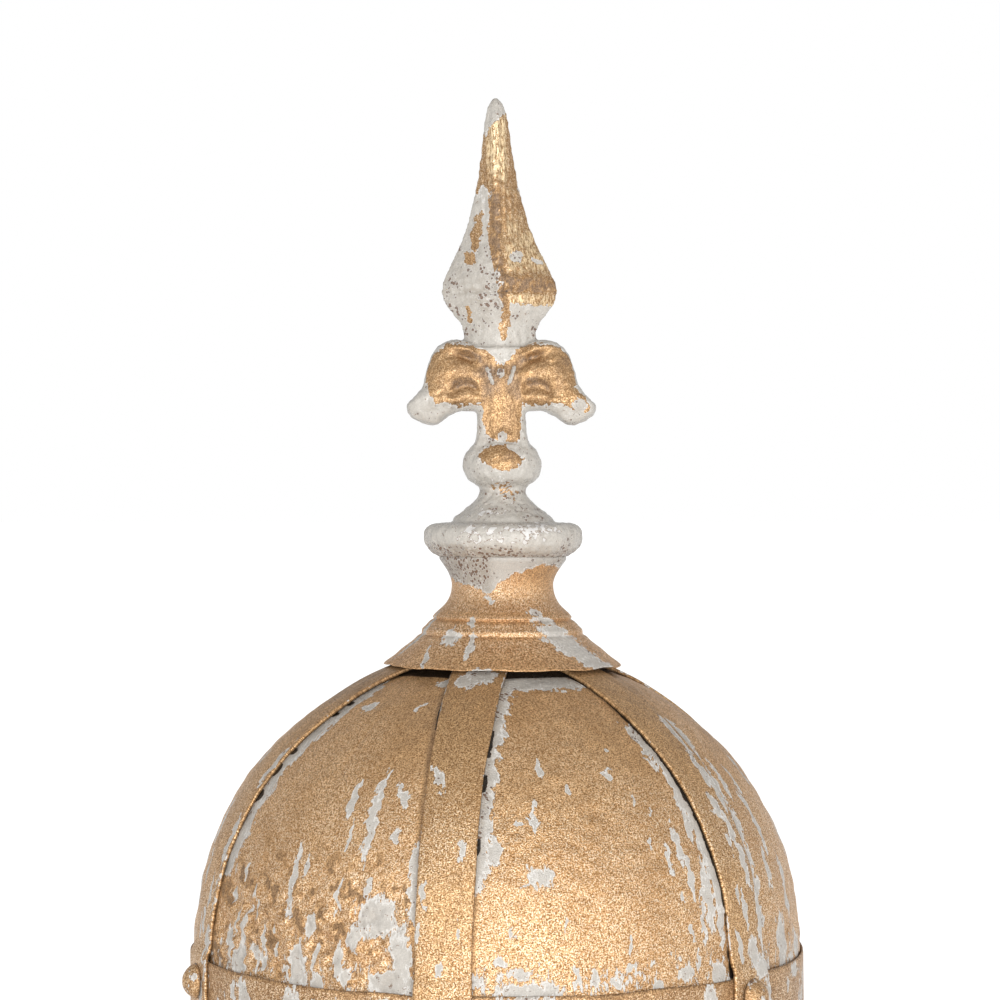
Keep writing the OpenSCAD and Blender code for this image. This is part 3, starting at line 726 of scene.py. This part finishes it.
top_h = 55.0
outer = spline([
    (rim_r - 0.1, 0.2), (rim_r - 0.9, 1.3), (rim_r - 5.6, 4.7), (49.9, 8.7), (44.7, 12.7), (42.4, 14.9),
    (40.6, 16), (40.4, 17.2), (40.0, 18.6), (38.5, 20.0), (37.3, 21.3), (36.0, 22.5), (34.4, 23.5),
    (34.8, 24.6), (33.6, 26.2), (32.4, 27.3), (28.9, 30.7), (26.6, 34.7), (25.6, 39.6), (25.9, 42.7),
    (27.6, 46.8), (30.1, 50.6), (31.8, 53.1), (31.9, 54.6)], 130)
inner_side = outer[::-4] - [1.15, 0.35]
inner_side[-1] = [rim_r - 1.1, 0.35]
side = np.concatenate([outer, [[31.2, top_h - 0.05]], [[2.0, top_h - 0.05]], [[2.0, top_h - 1.15]],
                       [[29.0, top_h - 1.2]], inner_side[1:], [[rim_r - 0.7, 0.0]]])
n = 420
az = np.arange(n) * 360 / n
p = polar(az[None, :], side[:, 0][:, None], side[:, 1][:, None])
hh = np.broadcast_to(side[:, 1][:, None], p.shape[:2])
turn = np.broadcast_to(((az + 180) % 360 - 180)[None, :], hh.shape)
wave = ripple(polar(az, 60.0, 0 * az), 34, 201) * 0.38 + ripple(polar(az, 60.0, 0 * az), 14, 202) * 0.16
low = smooth(9 - hh, 0, 9)
p[..., 2] += low * (0.55 + wave[None, :])
dent = 0.10 * (1.6 + ripple(p, 24, 203)) + 0.05 * (1 + ripple(p, 9, 204))
dent = dent + low * 0.5 * (1 + ripple(p, 38, 205)) * 0.6
p[..., :2] *= (1 - dent / np.maximum(side[:, 0][:, None], 10))[..., None]
lean = math.radians(0.3)
p = np.stack([p[..., 0] * math.cos(lean) + p[..., 2] * math.sin(lean) + cap_mid[0] - 0.2,
              p[..., 1] + cap_mid[1], p[..., 2] * math.cos(lean) - p[..., 0] * math.sin(lean) + rim_z], -1)
zz = p[..., 2]
shell = np.arange(len(side))[:, None] < len(outer) + 1
cx, cy = strayed(p, 210, 0.9)
cap_marks = [
    (-37, 190, 4.5, 3.8), (-19.5, 188, 2.2, 4, .3), (-20.5, 184, 2.0, 3), (-44, 180, 1.8, 5, .8),
    (-10, 173, 7, 3), (30, 202, 3, 1.6, .5), (36, 198, 7, 1.8, 1.2), (41, 193, 9, 2.8, 1.0),
    (45, 188, 11, 3.6, 1.0), (49, 183, 11, 4, .9), (53, 178, 10, 4), (58, 175, 8, 3.5),
    (-75, 190, 2.5, 10), (-12, 207, 1.4, 1.6), (-17, 209, 1.4, 1.4), (-24, 197, 1.6, 1.8),
    (90, 195, 4, 8), (120, 184, 6, 5), (150, 198, 4, 4), (180, 180, 8, 5), (-120, 186, 5, 6),
    (-150, 200, 4, 5), (-100, 205, 2, 4)]
worn = np.zeros_like(zz)
radius = np.hypot(p[..., 0] - cap_mid[0], p[..., 1] - cap_mid[1])
for a, zc, w, h, *k in cap_marks:
    dx = np.radians((turn - a + 180) % 360 - 180) * np.maximum(radius, 24) + cx
    dx = dx + (k[0] if k else 0) * (zz - zc)
    worn = np.maximum(worn, 1.15 - 0.65 * np.hypot(dx / w, (zz - zc + 0.7 * cy) / h))
# the casting's grey paint runs down over the waist to a ragged line
line = np.interp(turn[0], [-180, -110, -75, -40, -24, -14, -5, 12, 42, 75, 120, 180],
                 [221, 220, 218, 215, 213, 209.5, 216, 221, 225, 223, 222, 221])
worn = np.maximum(worn, np.clip(0.5 + (zz + 0.7 * cx - line[None, :]) / 4.5, 0, 1.3))
worn = np.where(shell, worn, 0)
grime = 0.20 + 0.25 * smooth(195 - zz, 0, 20) + 0.35 * smooth(zz, 205, 222) * smooth(turn, 0, 40)
dirty = smooth(zz, 206, 212) * smooth(-2 - turn, 0, 25) * smooth(turn, -110, -80)
grime = grime + 0.95 * dirty * smooth(worn, 0.45, 0.7)
beads = bell(hh - 22.9, 1.2) + 0.5 * bell(hh - 15.2, 1.0) + 0.7 * bell(hh - 26.8, 1.2)
grime = np.where(shell, grime + 0.35 * beads, 1.0)
lay = np.stack([np.radians(turn) * 45, zz, hh * 0.6], -1)
cap = piece("cap", p.reshape(-1, 3), [cells(len(side), n, True, True)],
            worn=worn.ravel(), grime=grime.ravel(), lay=lay.reshape(-1, 3))
cap_gilding = gilding("cap gilding", (0.80, 0.475, 0.235), (0.37, 0.19, 0.075), streak=1.3, holes=0.03,
                      seed=37.3)
finish_piece(cap, cap_gilding, "crown_cap")

# ---------------------------------------------------------------- casting
# One casting stands on the cap: collar disc, shoulder, neck, knob, stem, a cross of two leaves and
# a four-edged spear. Grey primer all over, gold left on the fronts of the knob, leaves and spear.
cast_lo, cast_hi = (np.array(v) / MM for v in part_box("spear_finial"))
base_z, tip_z = cast_lo[2], cast_hi[2]
foot_x = cap_mid[0]
disc_top = 16.4  # local heights: the disc's top, the spear's foot and the leaves' lowest point
spear_foot = 96
leaf_foot, leaf_lift = 63.6, 1.5


def leaning(p):
    """Puts local points, z from the disc's underside, on the cap; above its disc the casting leans."""
    up = np.maximum(p[..., 2] - disc_top, 0)
    with_cap, own = math.radians(0.3), math.radians(-1.0)
    shift = np.minimum(p[..., 2], disc_top) * math.sin(with_cap)
    return np.stack([p[..., 0] + foot_x + 0.3 + shift + up * math.sin(own),
                     p[..., 1], base_z + p[..., 2] * 0.9998], -1)


# turned foot: disc, shoulder, neck and knob, one closed line from the axis out and back
disc = spline([
    (0.01, -0.3), (20, -0.3), (31.5, -0.3), (33.0, 0.3), (34.6, 1.2), (37.0, 3.0), (39.0, 5.6),
    (39.9, 8.4), (39.8, 11.4), (38.8, 13.9), (37, 15.5), (34.5, 16.2), (28, 16.6), (26, 16.9),
    (25.3, 17.6)], 100)
waist = spline([
    (25.3, 17.6), (24.9, 18.6), (24.0, 19.6), (22.6, 20.6), (20, 22.6), (17.3, 24.6), (14.4, 27.4),
    (12.2, 30.2), (11.4, 32.6), (12.2, 34.8), (14.2, 35.9), (16.8, 37.6), (18.7, 40.2), (19.7, 44),
    (19.6, 47.6), (18.4, 51), (16.6, 53.6), (14.4, 55.4), (10, 57), (0.01, 58)], 120)
side = np.concatenate([disc, waist[1:]])

belt = np.array([
    (11, 96), (15.5, 100), (17.6, 106.3), (18.4, 111), (20.0, 115.6), (23.4, 120), (26.9, 124.4),
    (28.6, 128.6), (29.0, 131.2), (28.8, 133.2), (28.4, 135.2), (27.1, 138.6), (22.4, 148.4), (18.3, 157),
    (15.3, 165), (13.3, 173), (11.3, 181), (9.7, 189), (8.4, 197), (7.4, 205), (6.4, 213), (4.9, 220.4),
    (3.2, 224.8), (0.9, 226.6)], float)
finish_z = tip_z - base_z
belt[:, 1] = spear_foot + (belt[:, 1] - spear_foot) * (finish_z - 0.15 - spear_foot) / (226.6 - spear_foot)
mesh_parts = []


def closed_grid(p):
    """Points and faces of a tube of rows x cols points closed at both ends."""
    rows, cols = p.shape[:2]
    pts = np.concatenate([p.reshape(-1, 3), p[:1].mean(1), p[-1:].mean(1)])
    j = np.arange(cols)
    a, b = rows * cols, rows * cols + 1
    last = (rows - 1) * cols
    fans = np.concatenate([np.stack([np.full(cols, a), (j + 1) % cols, j], 1),
                           np.stack([np.full(cols, b), last + j, last + (j + 1) % cols], 1)])
    q = cells(rows, cols, False, True)
    return pts, np.concatenate([q[:, [0, 1, 2]], q[:, [0, 2, 3]], fans])


ang = np.arange(220) * 2 * math.pi / 220
r, h = side[1:-1, 0][:, None], side[1:-1, 1][:, None]
p = np.stack([r * np.cos(ang), r * np.sin(ang), h + 0 * ang], -1)
p[..., :2] *= (1 - 0.004 * (1 + ripple(p, 17, 301)) * smooth(r, 8, 14))[..., None]
mesh_parts.append(closed_grid(p))

# stem: a square post with rounded corners, ridged down its front
rows = np.linspace(52, 104, 60)[:, None]
th = np.linspace(0, 2 * math.pi, 120, endpoint=False)[None, :]
half_w = np.interp(rows, [52, 56, 60, 64, 70, 80, 90, 104], [15.5, 13.6, 12.6, 12.2, 12.0, 12.6, 14.5, 14.5])
half_d = np.interp(rows, [52, 58, 64, 80, 104], [13.5, 11.8, 11.2, 11.3, 11.0])
px = half_w * np.sign(np.cos(th)) * np.abs(np.cos(th)) ** 0.42
py = half_d * np.sign(np.sin(th)) * np.abs(np.sin(th)) ** 0.42
p = np.stack([px, py, rows + 0 * th], -1)
flutes = 0.55 * (np.cos(p[..., 0] * 1.15 + 0.02 * p[..., 2]) + 1)
p[..., 1] -= np.sign(py) * flutes * smooth(np.abs(py), 6, 9) * smooth(12 - np.abs(px), 0, 3)
mesh_parts.append(closed_grid(p))

# leaves: a pillow over the outline, with a raised brow, an eye under it and a hollow below
outline = np.array([
    (1.5, 33), (9.9, 39), (17, 42.6), (26, 42.4), (33.1, 37.4), (37.1, 27.5), (39.2, 19.6), (43.4, 14.2),
    (47.2, 10.3), (46.5, 5.6), (41.1, 1.7), (33.6, 0.0), (27.4, 3.9), (21.3, 6.9), (14.2, 6.9),
    (1.5, 5.5), (-1.5, 12), (-1.5, 26)], float)
loop = np.concatenate([outline, outline[:1]])
loop = spline(loop, 241)[:-1]
mid = np.array([20.5, 22.5])
ring = np.linspace(0, 1, 44)[:, None, None]
flatp = mid + (loop[None] - mid) * ring
lx, lz = flatp[..., 0], flatp[..., 1]
puff = np.sqrt(np.clip(1 - ring[..., 0] ** 2.6, 0, 1))
brow_z = 29.5 + 9.6 * np.sin(np.clip((lx - 3) / 30, 0, 1) * math.pi * 0.62) ** 0.8
relief_l = 3.4 * bell(lz - brow_z - 1.5, 2.6) * smooth(36 - lx, 0, 8)
relief_l -= 3.4 * bell(lz - brow_z + 4.0, 2.2) * smooth(lx, 4, 9) * smooth(25 - lx, 0, 7)
relief_l += 1.8 * np.exp(-(((lx - 27) / 7) ** 2 + ((lz - 26) / 5) ** 2))
hollow_z = 15.5 + 4.2 * np.cos(np.clip((lx - 17.5) / 8.5, -1, 1) * math.pi / 2)
relief_l -= 2.6 * bell(lz - hollow_z, 2.8) * smooth(lx, 9.5, 13) * smooth(27.5 - lx, 0, 5)
relief_l += 2.2 * np.exp(-(((lz - 12.0) / 3.2) ** 2 + ((lx - 24) / 8) ** 2))
thick = 7.2 + 5.2 * puff + relief_l * smooth(puff, 0.25, 0.8)
thick = thick * (0.62 + 0.38 * puff) * smooth(1.04 - ring[..., 0], -0.02, 0.10)
for sign in (1, -1):
    front_face = np.stack([lx * sign, -thick, lz + leaf_foot + leaf_lift], -1)
    back_face = np.stack([lx * sign, thick, lz + leaf_foot + leaf_lift], -1)
    p = np.concatenate([front_face[:-1], (front_face[-1:] + back_face[-1:]) / 2, back_face[:-1][::-1]])
    mesh_parts.append(closed_grid(p[:, ::-1] if sign > 0 else p))

# spear: rounded lozenge levels, with a ridge down the middle and a lip at the belt
lv = spline(belt, 170)
th = np.linspace(0, 2 * math.pi, 140, endpoint=False)
c, q = np.cos(th), np.sin(th)
upf = np.clip((lv[:, 1] - 132) / (finish_z - 132), 0, 1)[:, None]
flat_k = 0.52 + 0.48 * upf ** 0.8
px = lv[:, 0][:, None] * np.sign(c) * np.abs(c) ** 1.5
py = lv[:, 0][:, None] * flat_k * np.sign(q) * np.abs(q) ** 1.7
p = np.stack([px, py, lv[:, 1][:, None] + 0 * px], -1)
mesh_parts.append(closed_grid(p))

count, verts, tris = 0, [], []
for v, f in mesh_parts:
    verts.append(v)
    tris.append(f + count)
    count += len(v)
rough_cast = bpy.data.meshes.new("rough cast")
rough_cast.from_pydata(np.concatenate(verts).tolist(), [], np.concatenate(tris).tolist())
lump = bpy.data.objects.new("rough cast", rough_cast)
scene.collection.objects.link(lump)
fuse = lump.modifiers.new("fuse", "REMESH")
fuse.mode, fuse.voxel_size, fuse.use_smooth_shade = "VOXEL", 0.85, True
soften = lump.modifiers.new("soften", "SMOOTH")
soften.factor, soften.iterations = 0.5, 5
ready = lump.evaluated_get(bpy.context.evaluated_depsgraph_get()).to_mesh()
q = np.zeros(len(ready.vertices) * 3, np.float32)
ready.vertices.foreach_get("co", q)
q = q.reshape(-1, 3).astype(float)
normal = np.zeros(len(ready.vertices) * 3, np.float32)
ready.vertices.foreach_get("normal", normal)
normal = normal.reshape(-1, 3)
starts = np.zeros(len(ready.loops), np.int32)
ready.loops.foreach_get("vertex_index", starts)
faces4 = starts.reshape(-1, 4)
bpy.data.objects.remove(lump)

x, y, z = q[:, 0], q[:, 1], q[:, 2]
up = z + base_z
ahead = -y
# small lumps of the casting and drips of thick paint
small = (0.13 - 0.08 * smooth(up, 335, 350)) * ripple(q, 3.5, 312)
q = q + normal * (0.16 * ripple(q, 7, 311) + small - 0.12)[:, None]
# file marks down the spear, a groove round its belt
filed = np.sin(x * 2.1 + 0.5 * ripple(q, 30, 315)) * smooth(up, 375, 400) * smooth(np.abs(y), 1, 3)
q[:, 1] -= 0.22 * np.sign(-y) * filed
q[:, 1] += 0.9 * np.sign(-y) * bell(up - 360.5, 1.1) * smooth(np.abs(y), 4, 7)
# boss and bead on the stem, curled stems beside the bead
knot = np.exp(-(((x - 0.3) / 2.9) ** 2 + ((up - 288.5) / 2.9) ** 2) * 1.2)
knot = knot + 0.9 * np.exp(-((x / 2.6) ** 2 + ((up - 320) / 3.0) ** 2) * 1.2)
curl = bell(np.abs(x) - 5.2 - 0.35 * (up - 318), 1.0) * smooth(up, 313, 316) * smooth(325 - up, 0, 3)
facing = smooth(ahead, 4, 8)
spine = bell(x + 1.2 - 0.045 * (400 - up), 1.9) * smooth(up, 346, 354) * smooth(432 - up, 0, 24)
belt_lip = 0.8 * bell(up - 366.5, 2.2) * smooth(x, -6, 2)
q[:, 1] -= facing * (0.9 * spine * (1 + 0.25 * ripple(q, 5, 316)) + belt_lip)
q[:, 1] -= facing * (2.0 * knot + 1.2 * curl)


def spot(dx, dz, w, h, reach=1.25, soft=0.6):
    """An ellipse of half width w and half height h with a soft edge."""
    return smooth(reach - np.hypot(dx / w, dz / h), 0, soft)


# what is still gold: fronts only
wx, wy = strayed(q, 600, 0.75)
fine_x = 0.45 * ripple(q, 1.9, 610, 14)
x, up = x + wx + fine_x, up + wy - fine_x
ax = np.abs(x)
front_gold = facing * smooth(12.0 - np.abs(x - 0.3) - 0.12 * np.maximum(300 - up, 0), 0, 4)
front_gold = front_gold * smooth(up + 0.25 * x, 284, 289) * smooth(327 - up, 0, 4)
leaf_gold = facing * spot(ax - 19.5, up - 319, 18.8, 15.8, 1.16, 0.28) * smooth(up, 297, 299)
arm = spot(ax - 34, up - 308 + 0.45 * (ax - 34), 11, 5.2, 1.2, 0.4)
leaf_gold = np.maximum(leaf_gold, facing * arm * np.where(x < 0, smooth(34 - ax, 0, 3), 1))
v_cut = smooth(up - (325.0 + 0.9 * ax), -1.5, 2) * smooth(17 - ax, 0, 4)
leaf_gold = leaf_gold * (1 - v_cut)
knob_gold = facing * spot(x + 0.5, up - 277.5 + 0.12 * x, 10.8, 6.4, 1.25, 0.5)
spear_gold = smooth(up + 2 * ripple(q, 9, 330), 405, 415) * smooth(446 + 0.9 * x - up, -2.5, 2.5)
right = smooth(x + 1.0 * ripple(q, 9, 320) + 0.05 * (up - 385), -3.5, 0.5)
right = right * smooth(up, 352.5, 354.5) * smooth(414 - up, 0, 3)
island = (spot(x + 10.5 + 0.15 * (392 - up), up - 391, 2.8, 11) + spot(x + 14.5, up - 377, 3.2, 3.6)
          + spot(x + 15, up - 350, 1.6, 5, 1.2))
core = spot(x - 2.2 - 0.12 * (up - 345), up - 346, 2.6, 10) + spot(x + 1.5, up - 392, 3.4, 25, 1.2, 0.5)
chipped = spot(x - 8.5, up - 378, 3.0, 3.8, 1.2, 0.5) + spot(x - 20, up - 376.5, 2.8, 1.8, 1.2, 0.5)
chipped += spot(x - 39, up - 304.5, 3.6, 3.4, 1.2, 0.5) * facing
strays = smooth(ripple(q, 6, 340) + 0.6 * ripple(q, 3.4, 341), 1.9, 2.6)
strays = strays * smooth(up, 325, 330) * smooth(375 - up, 0, 10)
flecks = facing * smooth(ripple(q, 4.5, 380) + 0.8 * ripple(q, 2.2, 381, 14), -0.5, 0.6)
flecks = flecks * bell(up - 262 + 0.5 * x, 4.5) * smooth(8 - np.abs(x - 1), 0, 3)
gold = np.clip(np.maximum.reduce([flecks, front_gold, leaf_gold, knob_gold, spear_gold, right, island, core,
                                  0.8 * strays]), 0, 1) - chipped
x, up = q[:, 0], q[:, 2] + base_z
ax = np.abs(x)
cut = np.maximum(knot, curl) * facing * smooth(330 - up, 0, 3)
gold = np.clip(gold - 1.6 * smooth(cut, 0.35, 0.6), 0, 1)
worn = 1.05 - 1.0 * gold
leaf_z = up - 295.4 + 0.9 * wy
eye_z = 29.5 + 9.6 * np.sin(np.clip((ax - 3) / 30, 0, 1) * math.pi * 0.62) ** 0.8 - 3.9
eye = bell(leaf_z - eye_z - 0.5, 1.6) * smooth(ax + wx, 8, 12) * smooth(24 - ax, 0, 7)
pit_z = 15.6 + 4.2 * np.cos(np.clip((ax - 17.5) / 8.5, -1, 1) * math.pi / 2)
pit = bell(leaf_z - pit_z - 0.9, 1.8) * smooth(ax, 10, 13.5) * smooth(26.5 - ax, 0, 5)
mottle = np.clip(0.7 + 0.35 * ripple(q, 7, 360) + 0.35 * ripple(q, 3.2, 361, 14)
                 + 0.25 * ripple(q, 1.8, 362, 14), 0, 1.25)
ridge = bell(x + 1.2 - 0.045 * (400 - up), 3.0) * smooth(up, 348, 356) * smooth(426 - up, 0, 16)
belt_dark = bell(up - 364.5, 4.6) * smooth(x, 0, 4) + 0.5 * bell(up - 404, 9) * smooth(x, -2, 3)
grime = 0.16 + facing * (0.8 * eye + 0.8 * pit) * np.clip(0.35 + mottle, 0.5, 1.1)
grime = grime + np.minimum((1.5 * ridge + 1.2 * belt_dark) * mottle, 1.0)
grime += 0.45 * bell(up - 360.5, 1.0) * mottle
# the spear's upper front and its right face made brighter gold: fresh gilding, and partly a painted highlight
grime -= 1.1 * smooth(up, 405, 422) * smooth(452 - up, 0, 6) * smooth(7 - np.abs(x), 0, 4)
grime += (0.32 * np.clip(front_gold, 0, 1) + 0.25 * np.clip(leaf_gold, 0, 1) + 0.24 * np.clip(knob_gold, 0, 1)
          - 0.8 * np.clip(right, 0, 1) * np.clip(1 - ridge - belt_dark, 0, 1))
turn = np.degrees(np.arctan2(x, -y))
far = np.hypot(x, y)
# painted shade: a dark line under the knob, under the disc where it meets the cap, darker under the disc's
# left side and lower edge, and a dark line where the disc's top meets the shoulder on the right
grime += 0.9 * bell(up - 261.0, 1.3) * smooth(ripple(q, 12, 350), -1.2, 0.3)
grime += 0.8 * bell(up - 229.4, 1.5) * smooth(far, 30, 34) * smooth(ripple(q, 14, 355), -2.2, -0.6)
grime += 1.1 * bell(up - 231.5, 3.4) * smooth(20 - turn, 0, 60) * smooth(turn, -95, -60) * smooth(far, 30, 34)
grime += 0.30 * smooth(237.5 - up, 0, 5) * smooth(far, 27, 32)
grime += 0.8 * bell(up - 248.5, 1.6) * smooth(turn, 10, 25) * smooth(70 - turn, 0, 20)
grime += 0.35 * bell(up - 254, 6) * bell(turn - 8 + 2.5 * (254 - up), 22)
# painted shade in the crevices where the spear meets the leaves, and mottled painted shade with some dirt on
# the leaf tips where they turn back
grime += 0.8 * np.exp(-(((ax - 18.5) / 2.2) ** 2 + ((up - 339.5) / 2.6) ** 2))
tips = smooth(ax, 38, 44) * smooth(2 - ahead, 0, 6) + 0.8 * smooth(ax, 36, 40) * smooth(304 - up, 0, 4)
grime += 0.6 * smooth(ripple(q, 9, 352), 0.4, 1.6) * tips
grime += 0.35 * smooth(ripple(q, 16, 353), 0.6, 1.6)
grime += 0.34 * smooth(-x, 1, 7) * smooth(up, 340, 350) * smooth(398 - up, 0, 20) * (0.4 + 0.8 * mottle)
grime = np.where(worn > 0.6, np.clip(grime, 0, 1.0), grime)
# pale glossy flakes where the grey paint is thick, across the disc, on the shoulder, slanting down the neck;
# they are partly painted highlights
thick_paint_and_painted_highlight = (bell(up - 243.0, 2.6) * smooth(48 - np.abs(turn - 4), 0, 12)
               + 0.8 * bell(up - 237.5, 3.0) * smooth(40 - np.abs(turn), 0, 20)
               + bell(up - 251.5, 2.4) * smooth(28 - np.abs(turn + 14), 0, 10)
               + bell(up - 262.5 + 0.28 * (turn + 10), 3.4) * smooth(38 - np.abs(turn - 8), 0, 12))
glossy = smooth(ripple(q, 9, 371) + 0.9 * ripple(q, 4, 372, 14), -1.3, 0.5)
grime -= 0.95 * thick_paint_and_painted_highlight * glossy * smooth(worn, 0.5, 0.8)
p = leaning(q)
casting = piece("casting", p, [faces4.astype(np.int64)], worn=worn, grime=grime,
                lay=np.stack([q[:, 0], q[:, 2], q[:, 1]], -1))
cast_gilding = gilding("casting paint", (0.50, 0.30, 0.137), (0.25, 0.125, 0.045),
                       primer=(0.45, 0.42, 0.375), streak=3.5, ragged=0.9, holes=0.07, grain=0.62,
                       shine=0.75, seed=51.7)
finish_piece(casting, cast_gilding, "spear_finial")
